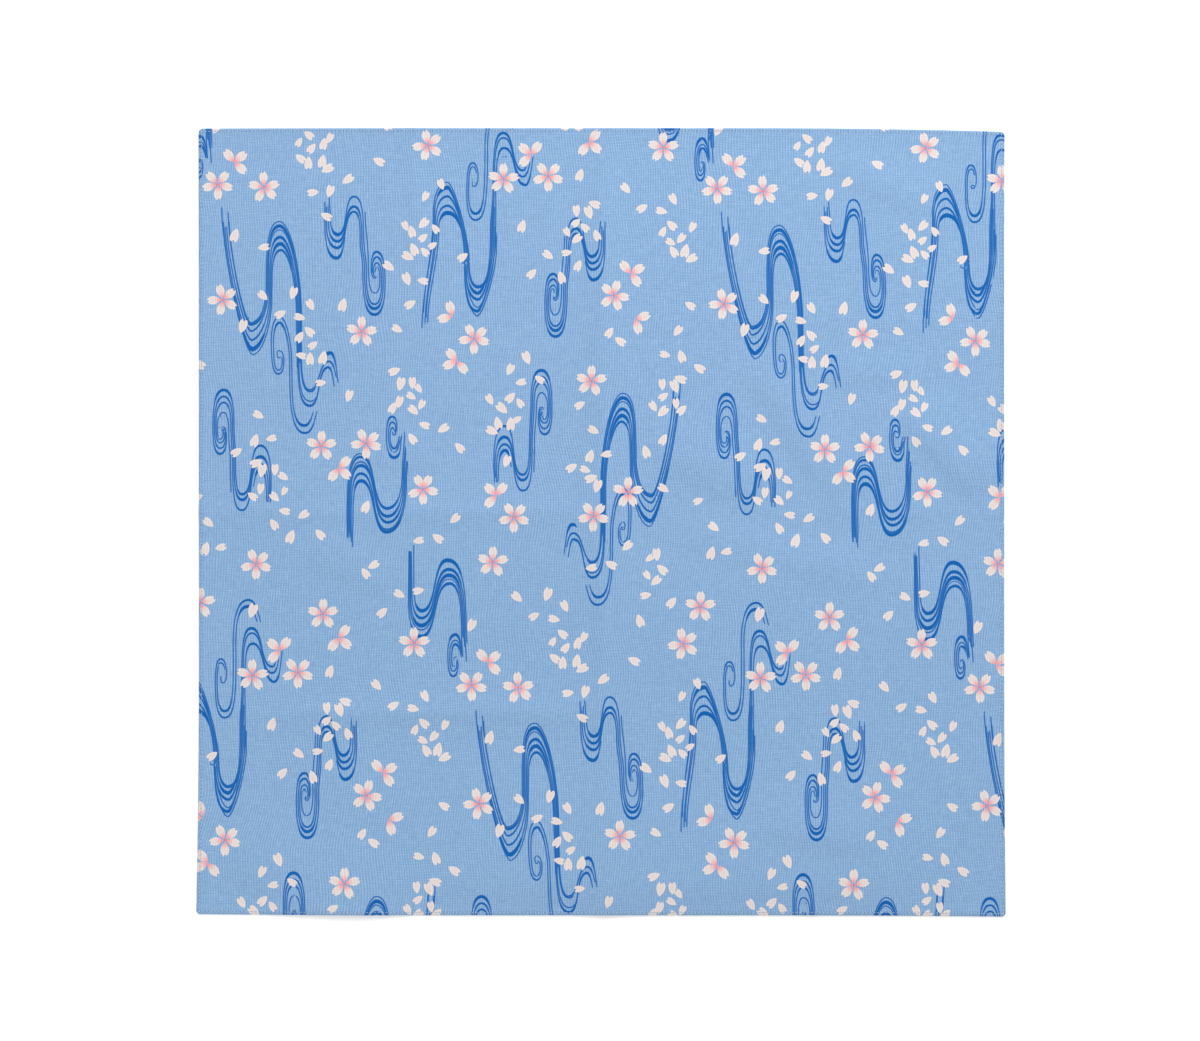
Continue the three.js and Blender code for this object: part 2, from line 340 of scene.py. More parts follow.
# A bend of water: each line runs through its points. A point whose third number is above 0
# is a crest or a trough, where the line runs level and is that wide. At the others it runs
# upright, and a third number below 0 tells how softly it turns into the next level point.
RISING_BEND = [
    [(229.2, 219, -0.3), (250.4, 322.6, 1.9), (266.2, 284), (279.6, 221.7, 1.3), (301.5, 318, -0.5),
     (301.4, 350), (310, 389.8, 1.8), (328.8, 361.6, 2.4), (336.6, 379)],
    [(228.2, 211.9, -0.3), (250.6, 324.6, 2.7), (267.4, 284), (279.8, 226.3, 4), (300.6, 318, -0.5),
     (300.6, 352), (310.4, 391.5, 2), (316, 386)],
    [(226.8, 224, -0.3), (251, 330.9, 2.1), (268.5, 288, -0.5), (268.6, 270), (280, 230, 1.2),
     (299.9, 318, -0.5), (299.8, 366)],
    [(225.2, 226, -0.3), (251.5, 339.8, 2.3), (269.7, 292, -0.5), (270, 272), (280.3, 237.4, 3.5),
     (298.8, 320, -0.5), (298.9, 362), (310.2, 401.2, 1.5), (316.6, 396.5)],
    [(223.5, 221, -0.3), (252.2, 349, 5), (270.8, 294, -0.5), (271, 278), (280.6, 244.1, 4.4),
     (297.8, 320, -0.5), (298, 364), (309.9, 405.7, 2.9), (328.3, 367.6, 3), (334.4, 387.8)],
    [(221.8, 206.3, -0.3), (252.9, 354.6, 1.2), (271.9, 296, -0.5), (272.2, 280), (281, 250.2, 2.8),
     (296.6, 316, -0.5), (297.4, 372)],
    [(325.2, 356.4), (330.2, 353, 4), (338.6, 386.2)],
    [(317.1, 411.2), (305, 433, 2.4), (289.9, 378), (289.8, 366, -0.5), (280, 323, 3), (273.6, 344),
     (278.6, 370.1, 1.6), (282.4, 361), (279.2, 355, 1)],
    [(313.4, 411.8), (304.1, 425.4, 3.2), (292.1, 378), (291.9, 366, -0.5), (280, 317, 1.7),
     (271.3, 342), (278.6, 373.9, 2), (284, 361), (279.1, 350.8, 1.4), (277.1, 354),
     (278.9, 358, 1.2), (280.4, 355.6)],
]
TALL_BEND = [
    [(422, 330.4), (433.4, 214), (447.5, 182.4, 1.2), (469.2, 262, -0.3), (469.3, 264),
     (477.9, 285.8, 1.4), (490.4, 232), (493, 190), (503.4, 133.3, 3.2), (522.7, 170.4, 2.5),
     (527, 165)],
    [(423.6, 315), (434.5, 216), (447.5, 187.8, 4.5), (468.4, 262, -0.3), (468.5, 264),
     (478, 287.4, 2.5), (491.4, 240), (492.8, 196)],
    [(425, 326), (435.6, 222), (447.5, 196.5, 2.5), (467.2, 264, -0.4), (467.3, 266),
     (478.2, 293, 4), (492.4, 240, -0.4), (494.2, 190), (503.7, 138, 2), (522.9, 176.6, 2.4),
     (530.4, 160)],
    [(426.3, 318), (437, 226), (447.5, 205.8, 2.5), (466, 266, -0.5), (466, 268), (478.2, 299.4, 3),
     (493.6, 240, -0.4), (494.4, 204)],
    [(464.9, 262, -0.5), (477.6, 307.3, 1.3), (494.8, 244, -0.4), (495, 226)],
    [(427.7, 324.6), (438.6, 230), (447.5, 213, 4.5), (464.8, 274), (477.6, 311, 3.6),
     (495.6, 240, -0.3), (495.8, 196), (504.3, 148.2, 2.8), (524.9, 185, 3.2), (533.6, 152)],
    [(464.4, 266, -0.5), (477.5, 315.8, 1.5), (496.4, 250, -0.3), (496.6, 232)],
    [(512.7, 128.4), (500.4, 105.8, 2.4), (485, 150), (475.4, 213.5, 3.4), (468.6, 192),
     (473.1, 167.1, 1.8), (476.9, 175)],
    [(509.2, 128), (499.8, 112.2, 3.6), (487.6, 150), (475.4, 220, 2.2), (466.8, 193),
     (472.9, 163.2, 2.2), (478, 177), (474.3, 186.3, 1.5), (472.3, 182.4), (473.5, 179, 1.2)],
]
CURLED_BEND = [
    [(329.4, 197.4), (330.6, 219), (338, 234.6, 3.8), (354, 196.7, 2.2), (363.6, 236), (366.4, 270),
     (374.6, 304.2, 2.2), (381.6, 284), (376.6, 263.4, 1.9), (373.4, 271), (374.9, 276.4, 1.3),
     (375.9, 274.6)],
    [(365.2, 212), (368.4, 262), (375, 293.1, 1.3), (379.8, 280), (376.8, 267.4, 1.3),
     (374.8, 273)],
    [(328, 203), (328.4, 222), (337.6, 241.4, 3.1), (354, 206.8, 3.3), (361.8, 238), (364.6, 270),
     (374.6, 308.6, 3.6), (383.2, 284), (376.6, 257.4, 2.6), (372.2, 269), (372.6, 275)],
    [(326.4, 206), (326.5, 224), (337.2, 247.8, 3.2), (354, 212, 2.7), (360.2, 240), (362.8, 270),
     (374.6, 314.6, 3.2), (385, 284), (376.5, 252.1, 2.9), (371.2, 267), (374.7, 278.2, 1.4),
     (377, 274.8)],
    [(324.8, 200.4), (325, 226), (336.5, 258, 3.9), (345.4, 236)],
]
LOOPED_BEND = [
    [(494.6, 485.4), (493.8, 464), (504.6, 426.1, 2.6), (522.6, 474.7, 2.7), (529.4, 440),
     (531, 402), (541.2, 370.5, 3.6), (552, 408), (544.6, 434.2, 2.7), (538.3, 419),
     (541.7, 407.4, 1.6), (543.9, 410.8)],
    [(495.6, 480), (495, 467), (504.6, 437.2, 3.7), (522.6, 480.1, 3.1), (530.8, 442), (532.4, 404),
     (541.2, 377, 2.4), (550.4, 408), (544.5, 428.6, 2.1), (539.3, 418), (541.7, 409.4, 1.2),
     (542.8, 411)],
    [(496.6, 482), (496.6, 468), (504.8, 444.4, 2.5), (523, 490.6, 2.2), (532.2, 444), (534, 406),
     (541.2, 383, 2.2), (549, 406), (544.5, 423, 1.9), (540.3, 416), (541.4, 411)],
    [(497.8, 484), (498.4, 475), (505.2, 450.6, 4.4), (511.5, 468)],
    [(533.9, 474.7), (534.6, 440), (536.2, 412), (541.6, 392.9, 1.5), (547.6, 408),
     (544.5, 419.4, 1.3), (541.8, 414), (542.2, 411.4)],
]
LOW_BEND = [
    [(347.4, 538), (347.2, 512), (360.6, 453.7, 1.4), (387.4, 508.4, 3.2), (402.4, 472),
     (404.7, 430.5)],
    [(348.3, 540.7), (348.2, 512), (360.8, 457, 2.8), (387.6, 516.3, 3.3), (403.4, 474),
     (405.4, 444)],
    [(349.4, 536), (349.2, 513), (361, 461.9, 1.6), (376, 500)],
    [(350.5, 537.1), (350.2, 514), (361, 465.6, 3.4), (388, 522.3, 3.1), (404.4, 476),
     (406, 446.5)],
    [(351.4, 542), (351.4, 515), (361, 473.7, 3), (387, 529.4, 2), (405.4, 478), (407, 458)],
    [(352.6, 547.4), (353.2, 516), (361, 481, 4.2), (386.7, 532, 3.4), (406.6, 480), (407.6, 461)],
    [(402, 432.6), (400.8, 444), (394.3, 457.5, 3.7), (386.5, 437), (392.1, 416.9, 2.7),
     (396.9, 426), (394.2, 434.8, 1.7), (392.2, 432)],
    [(400.6, 437), (394.3, 452, 1.4), (388.6, 436), (392.3, 422.5, 2.3), (395.8, 428),
     (394, 433.4, 1.7)],
    [(399.7, 434), (394.3, 448.4, 2.9), (390.2, 438), (392.4, 428.4, 1.9), (394.8, 431.6)],
]
WIDE_BEND = [
    [(413.8, 542.7), (414, 588), (421.9, 610.7, 4.1), (447.6, 560.3, 4.3), (466.2, 628),
     (467, 646.3)],
    [(411.6, 552), (412, 593), (421.6, 618, 3.1), (448.6, 569.4, 3.5), (465, 632), (466.3, 662.5)],
    [(410.6, 549.4), (410.8, 596), (421.4, 625.5, 4.4), (449, 575.3, 4.1), (463.8, 634),
     (464.9, 648)],
    [(409.9, 551), (409.8, 598), (421.4, 629.9, 1.5), (449.2, 579, 1), (462.6, 634), (463.4, 640)],
    [(409.1, 549.4), (408.6, 600), (421.2, 636.4, 4), (449.4, 583.6, 3.1), (461.5, 636),
     (462.5, 656)],
    [(463, 657.4), (455.4, 634.7, 3.9), (447.8, 655), (453.4, 676, 2.7), (458, 665),
     (455.2, 657.7, 1.7), (453.5, 661.2)],
    [(462.2, 656), (455.4, 640.3, 1.5), (449.8, 655), (453.3, 670.9, 2), (456.8, 664.8),
     (455, 659.4, 1.2)],
    [(461.6, 658.6), (455.4, 644.3, 3.1), (451.8, 656), (453.4, 666.2, 1.5), (455.6, 663)],
]

# Each bend is printed at its places: the shift across and down, and -1 where it is mirrored.
BENDS = [
    (RISING_BEND, [(0, 0, 1), (902.3, 171.7, -1)]),
    (TALL_BEND, [(0, 0, 1)]),
    (CURLED_BEND, [(0, 0, 1), (929.9, 21.9, -1)]),
    (LOOPED_BEND, [(0, 0, 1), (764.9, 19.6, -1)]),
    (LOW_BEND, [(0, 0, 1)]),
    (WIDE_BEND, [(0, 0, 1)]),
]
LEG_WIDTH = 1.22
LINE_STEPS = 28
SWELL = 1.1

# The handles of the curves, as shares of how far a stretch runs across and down. The steeper
# a stretch is, the longer its handles are. An end of a line leans over a little. LEAST_ACROSS
# and LEAST_BEND are in pixels.
END_LEVEL = 0.61
END_UPRIGHT = 0.5
END_LEAN = 0.5
LEVEL_SHARE = 0.78
LEVEL_LOSS = 0.23
UPRIGHT_LEAST = 0.55
UPRIGHT_LOSS = 1.2
LEAST_ACROSS = 0.1
BEND_SHARE = 0.28
LEAST_BEND = 3.4

# How each copy of the repeat is laid over the cloth, in pixels: its shift across and down,
# how much the shift grows for each pixel across from the reference place, and how much for
# each pixel down. Where copies overlap, petals nearer to each other than SAME_PETAL are the
# same one, printed once, and so are blossoms nearer than SAME_BLOSSOM.
REPEAT_REFERENCE = (290, 220)
REPEATS = [
    ("main", (0, 0), (0, 0), (0, 0)),
    ("right", (499.6, 3.7), (-0.003, -0.008), (0.0175, 0)),
    ("below", (255.2, 501.4), (0.0125, -0.006), (0.02, 0.027)),
    ("below left", (-253.6, 497.6), (0.015, 0), (0.015, 0.03)),
    ("below right", (763.4, 503.8), (0.0125, 0), (0.02, 0.027)),
    ("left", (-499.4, -3.9), (0, 0), (-0.002, 0)),
    ("above left", (-257.2, -499.5), (0.0125, 0.009), (0, 0)),
    ("above", (249.6, -495.6), (-0.016, 0), (0, 0)),
]
SAME_PETAL = 3.6
SAME_BLOSSOM = 6


def laid_copy(points, repeat):
    """The chart's points in one copy of the repeat, in the cloth's metres."""
    _, shift, growth_across, growth_down = repeat
    points = np.atleast_2d(np.array(points, dtype=float))
    offset = points - np.array(REPEAT_REFERENCE)
    growth = offset[:, :1] * np.array(growth_across) + offset[:, 1:] * np.array(growth_down)
    copied = points + np.array(shift) + growth
    return (copied - np.array(CLOTH_MIDDLE)) * np.array([PIXEL, -PIXEL])


def is_level(point):
    return len(point) == 3 and point[2] > 0


def arc_handles(turn_point, side_point, is_end):
    """The two middle handles of the curve from a level point to an upright one."""
    across = side_point[0] - turn_point[0]
    down = turn_point[1] - side_point[1]
    steepness = abs(down) / max(abs(across), LEAST_ACROSS)
    slant = 0
    if len(side_point) == 3:
        level = -side_point[2] * abs(across)
        upright = -side_point[2] * abs(down)
    elif is_end:
        level = END_LEVEL * abs(across)
        upright = END_UPRIGHT * abs(down)
        slant = END_LEAN / max(steepness, 1)
    else:
        level = abs(across) * (LEVEL_SHARE - LEVEL_LOSS / max(steepness, 1))
        upright = abs(down) * max(UPRIGHT_LEAST, 1 - UPRIGHT_LOSS / max(steepness, 1))
    level_handle = (turn_point[0] + math.copysign(level, across), turn_point[1])
    lean = -math.copysign(slant * upright, across)
    upright_handle = (side_point[0] + lean, side_point[1] + math.copysign(upright, down))
    return level_handle, upright_handle


def stretch(start, end, is_end):
    """One stretch of a water line, as the four points of its curve."""
    across = end[0] - start[0]
    down = end[1] - start[1]
    if is_level(start) and is_level(end):
        bend_radius = max(BEND_SHARE * abs(across), LEAST_BEND)
        level = math.copysign(math.sqrt(abs(down) * bend_radius * 2 / 3), across)
        return [start[:2], (start[0] + level, start[1]), (end[0] - level, end[1]), end[:2]]
    if is_level(start):
        return [start[:2], *arc_handles(start, end, is_end), end[:2]]
    if is_level(end):
        return stretch(end, start, is_end)[::-1]
    third = down / 3
    return [start[:2], (start[0], start[1] + third), (end[0], end[1] - third), end[:2]]


def water_line(line):
    """The places along a water line and its width at each."""
    places = []
    widths = []
    share = np.linspace(0, 1, LINE_STEPS, endpoint=False)[:, None]
    for index in range(len(line) - 1):
        start, end = line[index], line[index + 1]
        starts_line = index == 0 and not is_level(start)
        ends_line = index == len(line) - 2 and not is_level(end)
        curve = stretch(start, end, starts_line or ends_line)
        p0, p1, p2, p3 = (np.array(point) for point in curve)
        rest = 1 - share
        places.append(
            rest**3 * p0 + 3 * rest**2 * share * p1 + 3 * rest * share**2 * p2 + share**3 * p3
        )
        start_width = start[2] if is_level(start) else LEG_WIDTH
        end_width = end[2] if is_level(end) else LEG_WIDTH
        widths.append(np.where(share[:, 0] < 0.5, start_width, end_width))
    places = np.concatenate(places)
    widths = np.concatenate(widths)
    run = np.gradient(places, axis=0)
    level = np.abs(run[:, 0]) / np.hypot(run[:, 0], run[:, 1])
    return places, LEG_WIDTH + (widths - LEG_WIDTH) * level**SWELL


# Every line and petal that is printed on the cloth, in metres.
MARGIN = 16
cloth_reach = half_sides + MARGIN * PIXEL


def is_new(place, others, pixels):
    """Whether a place is on the cloth, and none of the others is as near to it."""
    if (np.abs(place) > cloth_reach).any():
        return False
    return not others or np.hypot(*(np.array(others) - place).T).min() >= pixels * PIXEL


printed_lines = []
for bend_lines, bend_places in BENDS:
    for shift_x, shift_y, mirror in bend_places:
        for line in bend_lines:
            places, widths = water_line(line)
            places = places * np.array([mirror, 1]) + np.array([shift_x, shift_y])
            for repeat in REPEATS:
                laid = laid_copy(places, repeat)
                if (np.abs(laid) < cloth_reach).all(axis=1).any():
                    printed_lines.append((laid, widths * PIXEL))

# A petal's half width at a share of its length is share ** slimness times
# (PETAL_FULLNESS - share) ** taper, scaled so that its widest place is as broad as it should
# be. In a blossom or a spray a petal runs from so many pixels off the middle to its reach.
BLOSSOM_START = 1.6
SPRAY_START = 0.4
PETAL_REACH = 15.8
PETAL_FULLNESS = 1.12
LOOSE_SLIMNESS = 0.85
BLOSSOM_SLIMNESS = 1.15
LOOSE_BREADTH = 0.31
BLOSSOM_BREADTH = 0.287
LOOSE_TAPER = 0.6
BLOSSOM_TAPER = 1.1


def petal_scale(slimness, taper, breadth):
    share = np.linspace(0, 1, 101)
    return breadth / (share**slimness * (PETAL_FULLNESS - share) ** taper).max()


loose_scale = petal_scale(LOOSE_SLIMNESS, LOOSE_TAPER, LOOSE_BREADTH)
blossom_scale = petal_scale(BLOSSOM_SLIMNESS, BLOSSOM_TAPER, BLOSSOM_BREADTH)
charted_petals = []
charted_dots = []
for x0, y0, x1, y1 in LOOSE_PETALS:
    charted_petals.append((np.array([x0, y0]), np.array([x1, y1]), loose_scale, 0))
for blossoms, starts_at in ((BLOSSOMS, BLOSSOM_START), (SPRAYS, SPRAY_START)):
    for middle_x, middle_y, *turns in blossoms:
        middle = np.array([middle_x, middle_y])
        if blossoms is BLOSSOMS:
            charted_dots.append(middle)
        for turn in turns:
            way = np.array([math.cos(math.radians(turn)), -math.sin(math.radians(turn))])
            start = middle + way * starts_at
            tip = middle + way * PETAL_REACH
            charted_petals.append((start, tip, blossom_scale, 1))

printed_petals = []
petal_middles = []
for repeat in REPEATS:
    for start, tip, broadness, blossom in charted_petals:
        laid_start, laid_tip = laid_copy([start, tip], repeat)
        middle = (laid_start + laid_tip) / 2
        if is_new(middle, petal_middles, SAME_PETAL):
            petal_middles.append(middle)
            printed_petals.append((laid_start, laid_tip, broadness, blossom))
printed_dots = []
for repeat in REPEATS:
    for dot in charted_dots:
        laid = laid_copy(dot, repeat)[0]
        if is_new(laid, printed_dots, SAME_BLOSSOM):
            printed_dots.append(laid)

# The print is kept on the faces of the cloth, exact at any size. A face that a water line
# crosses holds the round that the line follows there, and the line's width at each corner.
# A face that a petal touches holds where its corners lie along and across the petal. The
# searches and margins say how far round a line, petal or dot its faces are looked for.
LINE_LAYERS = 6
PETAL_LAYERS = 5
FAR_AWAY = 9.0
STRAIGHT_RADIUS = 1.0
SOFT_EDGE = 0.0003
SEARCH_STEPS = 14
SMOOTHING = 5
PETAL_SEARCH = 0.004
PETAL_MARGIN = 0.05
PETAL_SIDE = 0.4
DOT_SEARCH = 0.005
face_middle = corner_print.mean(axis=1)
face_reach = np.hypot(*np.moveaxis(corner_print - face_middle[:, None], 2, 0)).max(axis=1)
face_total = len(face_middle)
line_layers = np.zeros((LINE_LAYERS, face_total, 4, 4), dtype=np.float32)
line_layers[:, :, :, 3] = -1
petal_layers = np.zeros((PETAL_LAYERS, face_total, 4, 4), dtype=np.float32)
petal_layers[:, :, :, 0] = -FAR_AWAY
petal_used = np.zeros(face_total, dtype=int)
line_used = np.zeros(face_total, dtype=int)
line_entries = []
for places, widths in printed_lines:
    run = np.gradient(places, axis=0)
    bend_run = np.gradient(run, axis=0)
    speed = np.hypot(run[:, 0], run[:, 1])
    curvature = (run[:, 0] * bend_run[:, 1] - run[:, 1] * bend_run[:, 0]) / speed**3
    padded = np.pad(curvature, SMOOTHING // 2, mode="edge")
    curvature = np.convolve(padded, np.ones(SMOOTHING) / SMOOTHING, mode="valid")
    signed = np.where(curvature < 0, -1.0, 1.0)
    radius = 1 / np.maximum(np.abs(curvature), 1 / STRAIGHT_RADIUS)
    normal = np.stack([-run[:, 1], run[:, 0]], axis=1) / speed[:, None]
    centre = places + normal * (signed * radius)[:, None]
    reach = widths.max() / 2 + face_reach.max()
    low = places.min(axis=0) - reach
    high = places.max(axis=0) + reach
    near = np.nonzero(((face_middle > low) & (face_middle < high)).all(axis=1))[0]
    if not len(near):
        continue
    gap = np.hypot(
        face_middle[near, 0, None] - places[None, :, 0],
        face_middle[near, 1, None] - places[None, :, 1],
    )
    padded = np.pad(gap, ((0, 0), (1, 1)), constant_values=np.inf)
    lowest = (gap <= padded[:, :-2]) & (gap < padded[:, 2:])
    lowest &= gap < face_reach[near][:, None] + widths[None, :] / 2 + SOFT_EDGE
    face_row, step = np.nonzero(lowest)
    window = step[:, None] + np.arange(-SEARCH_STEPS, SEARCH_STEPS + 1)
    window = np.clip(window, 0, len(places) - 1)
    corner = corner_print[near[face_row]]
    corner_gap = np.hypot(
        corner[:, :, None, 0] - places[window][:, None, :, 0],
        corner[:, :, None, 1] - places[window][:, None, :, 1],
    )
    nearest = corner_gap.argmin(axis=2)[:, :, None]
    best = np.take_along_axis(window[:, None, :], nearest, axis=2)[:, :, 0]
    half_width = widths[best] / 2
    tangent = run[best] / speed[best][:, :, None]
    along = ((corner - places[best]) * tangent).sum(axis=2)
    past_end = np.where(best == len(places) - 1, along, 0) + np.where(best == 0, -along, 0)
    half_width = half_width - np.maximum(0, past_end)
    line_entries.extend(
        zip(gap[face_row, step], near[face_row], centre[step], radius[step], half_width)
    )
line_entries.sort(key=lambda entry: entry[0])
for _, face, centre, radius, half_width in line_entries:
    layer = line_used[face]
    if layer < LINE_LAYERS:
        line_layers[layer, face, :, :3] = (*centre, radius)
        line_layers[layer, face, :, 3] = half_width
        line_used[face] += 1


def faces_near(place, reach):
    return np.nonzero(np.hypot(*(face_middle - place).T) < reach)[0]


for start, tip, broadness, blossom in printed_petals:
    axis = tip - start
    length = np.hypot(*axis)
    axis = axis / length
    middle = (start + tip) / 2
    near = faces_near(middle, length / 2 + PETAL_SEARCH)
    offset = corner_print[near] - start
    along = (offset @ axis) / length
    across = (offset @ np.array([-axis[1], axis[0]])) / length
    touches = (along.max(axis=1) > -PETAL_MARGIN) & (along.min(axis=1) < 1 + PETAL_MARGIN)
    touches &= (across.max(axis=1) > -PETAL_SIDE) & (across.min(axis=1) < PETAL_SIDE)
    for face, face_along, face_across in zip(near[touches], along[touches], across[touches]):
        layer = petal_used[face]
        if layer < PETAL_LAYERS:
            petal_layers[layer, face, :, 0] = face_along
            petal_layers[layer, face, :, 1] = face_across
            petal_layers[layer, face, :, 2:] = (blossom, broadness)
            petal_used[face] += 1

dot_place = np.full((face_total, 4, 3), FAR_AWAY, dtype=np.float32)
for dot in printed_dots:
    near = faces_near(dot, DOT_SEARCH)
    dot_place[near, :, 0:2] = corner_print[near] - dot


def keep_on_corners(name, values):
    is_vector = values.shape[-1] == 3
    kind, field = ("FLOAT_VECTOR", "vector") if is_vector else ("FLOAT_COLOR", "color")
    attribute = cloth_mesh.attributes.new(name, kind, "CORNER")
    attribute.data.foreach_set(field, np.ascontiguousarray(values, dtype=np.float32).ravel())


side_of_cloth = np.repeat(is_wrong_side[:, None], 4, axis=1).astype(float)
flat = np.zeros_like(side_of_cloth)
keep_on_corners("print_place", np.dstack([corner_print, side_of_cloth]))
keep_on_corners("cut_place", np.dstack([corner_cut, flat]))
keep_on_corners("dot_place", dot_place)
for layer in range(LINE_LAYERS):
    keep_on_corners(f"water_{layer + 1}", line_layers[layer])
for layer in range(PETAL_LAYERS):
    keep_on_corners(f"petal_{layer + 1}", petal_layers[layer])

# One map: the face of the cloth and its back, side by side.
FACE_MAP = 0.98
BACK_MAP = 0.48
MAP_SPAN = 1.5
uv_layer = cloth_mesh.uv_layers.new(name="OFBake")
uv_places = 0.5 + corner_cut / CLOTH_WIDTH * FACE_MAP
uv_places[is_back] = uv_places[is_back] * BACK_MAP + np.array([1.0, 0.0])
uv_layer.data.foreach_set("uv", (uv_places * (1 / MAP_SPAN)).astype(np.float32).ravel())


def add_node(tree, kind, inputs, **settings):
    made = tree.nodes.new(kind)
    for name, setting in settings.items():
        setattr(made, name, setting)
    for name, given in inputs.items():
        if isinstance(given, Value):
            given = given.socket
        if isinstance(given, bpy.types.NodeSocket):
            tree.links.new(given, made.inputs[name])
        else:
            made.inputs[name].default_value = given
    return made


class Value:
    """A number that varies over a surface. An expression on it adds Math nodes."""

    def __init__(self, finish, socket):
        self.finish = finish
        self.socket = socket

    def math(self, operation, *others):
        inputs = dict(enumerate((self, *others)))
        made = self.finish.node("ShaderNodeMath", inputs, operation=operation)
        return Value(self.finish, made.outputs["Value"])

    __add__ = __radd__ = partialmethod(math, "ADD")
    __sub__ = partialmethod(math, "SUBTRACT")
    __mul__ = __rmul__ = partialmethod(math, "MULTIPLY")
    __truediv__ = partialmethod(math, "DIVIDE")
    __pow__ = partialmethod(math, "POWER")
    __abs__ = partialmethod(math, "ABSOLUTE")
    lesser = partialmethod(math, "MINIMUM")
    greater = partialmethod(math, "MAXIMUM")

    def __rsub__(self, other):
        return self.math("MULTIPLY", -1).math("ADD", other)

    def within(self):
        """Held between 0 and 1."""
        return self.greater(0).lesser(1)


class Finish:
    """A material, built node by node."""

    def __init__(self, name):
        self.material = bpy.data.materials.new(name)
        self.material.use_nodes = True
        self.tree = self.material.node_tree
        self.tree.nodes.clear()

    def node(self, kind, inputs, **settings):
        return add_node(self.tree, kind, inputs, **settings)

    def attribute(self, name):
        return self.node("ShaderNodeAttribute", {}, attribute_name=name)

    def parts(self, socket):
        split = self.node("ShaderNodeSeparateXYZ", {"Vector": socket})
        return [Value(self, split.outputs[name]) for name in ("X", "Y", "Z")]

    def blend(self, share, first, second):
        """The first colour turning into the second as share goes from 0 to 1."""
        mixed = self.node("ShaderNodeMix", {0: share, 6: first, 7: second}, data_type="RGBA")
        return mixed.outputs[2]

    def surface(self, inputs):
        """The one shader of the material's surface."""
        shader = self.node("ShaderNodeBsdfPrincipled", inputs)
        self.node("ShaderNodeOutputMaterial", {"Surface": shader.outputs["BSDF"]})

    def noise(self, place, scales, detail, seed):
        """Even noise around 0, from about -1 to 1, stretched by its scale each way."""
        stretched = self.node("ShaderNodeVectorMath", {0: place, 1: scales}, operation="MULTIPLY")
        moved = self.node("ShaderNodeVectorMath", {
            0: stretched.outputs["Vector"], 1: (seed, seed * 1.7, seed * 0.6),
        }, operation="ADD")
        noise = self.node("ShaderNodeTexNoise", {
            "Vector": moved.outputs["Vector"], "Scale": 1.0, "Detail": detail, "Roughness": 0.5,
        })
        return (Value(self, noise.outputs["Fac"]) - 0.5) * 2


def linear(red, green, blue):
    """A screen colour, 0 to 255, as the linear colour that a shader takes."""
    shades = []
    for channel in (red, green, blue):
        share = channel / 255
        shades.append(share / 12.92 if share <= 0.04045 else ((share + 0.055) / 1.055) ** 2.4)
    return (*shades, 1.0)


GROUND_BLUE = linear(116, 149, 186)
PALE_BLUE = linear(138, 169, 200)
DEEP_BLUE = linear(11, 87, 157)
LEG_BLUE = linear(19, 91, 160)
PETAL_CREAM = linear(216, 203, 194)
PETAL_GREY = linear(206, 195, 192)
PETAL_PINK = linear(228, 128, 130)
DOT_CORAL = linear(217, 109, 114)
BACK_BLUE = linear(140, 167, 197)
# Painted shade inside the needle holes.
HOLE_SHADE_BLUE = linear(79, 103, 138)

# The ribs of the weave: their pitch, how many pitches they wander, how strong they are.
RIB_PITCH = 0.0016
UPRIGHT_WANDER = 6
LEVEL_WANDER = 5
UPRIGHT_RIB = 0.9
LEVEL_RIB = 0.3
FLECK_MIDDLE = 0.75

# A petal's notch and its shades, as shares of its length. The blush has faded out at
# BLUSH_FADES times its reach.
NOTCH_PLACE = 0.84
NOTCH_SLOPE = 1.35
NOTCH_ASIDE = 0.03
POINT_MARGIN = 0.01
PETAL_SOFT_EDGE = 0.035
BLUSH_REACH = 0.42
BLUSH_FADES = 1.12
PETAL_RIM = 0.16

# The half widths between which the water's ink turns bold, the dot in a blossom's middle, a
# needle hole, which fades out at HOLE_FADES radii, and where the hem's painted shade darkens
# the cloth, from the edge.
BOLD_FROM = 0.00045
BOLD_TO = 0.0008
DOT_RADIUS = 0.00078
HOLE_RADIUS = 0.0004
HOLE_FADES = 1.2
HEM_DARKENS_FROM = 0.0036
HEM_DARKENS_TO = 0.0016

# How much the ground pales with each part of the weave, how much of what is under it each
# print covers and the painted shade in the needle holes covers, and how much each part shades
# the cloth or stands out of it, the hem's part being painted shade.
PALE_MIDDLE = 0.35
PALE_THREADS = 0.42
PALE_SLUB = 0.1
PALE_RIB = 0.4
STREAK_MIDDLE = 0.5
STREAK_WARP = 0.9
STREAK_SLUB = 0.4
INK_COVERS = 0.96
BOLD_COVERS = 0.03
STREAK_COVERS = 0.05
PETAL_COVERS = 0.97
BACK_COVERS = 0.62
HOLE_COVERS = 0.75
RIB_SHADES = 0.08
THREADS_SHADE = 0.05
HEM_PAINTED_SHADE = 0.05
THREADS_RISE = 0.5
SLUB_RISES = 0.6
HOLE_SINKS = 3

cotton = Finish("printed_cotton")
print_place = cotton.attribute("print_place")
place_x, place_y, wrong_side = cotton.parts(print_place.outputs["Vector"])
thread_place = cotton.node("ShaderNodeTexCoord", {}).outputs["Object"]
warp = cotton.noise(thread_place, (1500, 200, 90), detail=1.0, seed=3.1)
weft = cotton.noise(thread_place, (200, 1500, 90), detail=1.0, seed=7.7)
slub = cotton.noise(thread_place, (380, 24, 24), detail=2.0, seed=1.3)
wander = cotton.noise(thread_place, (9, 14, 9), detail=1.0, seed=5.9)
fleck = cotton.noise(thread_place, (330, 260, 330), detail=1.0, seed=9.1)
threads = warp + weft
thread_x, thread_y, _ = cotton.parts(thread_place)
upright_turns = thread_x / RIB_PITCH + wander * UPRIGHT_WANDER
level_turns = thread_y / RIB_PITCH - wander * LEVEL_WANDER
upright_rib = (upright_turns * (2 * math.pi)).math("SINE")
level_rib = (level_turns * (2 * math.pi)).math("SINE")
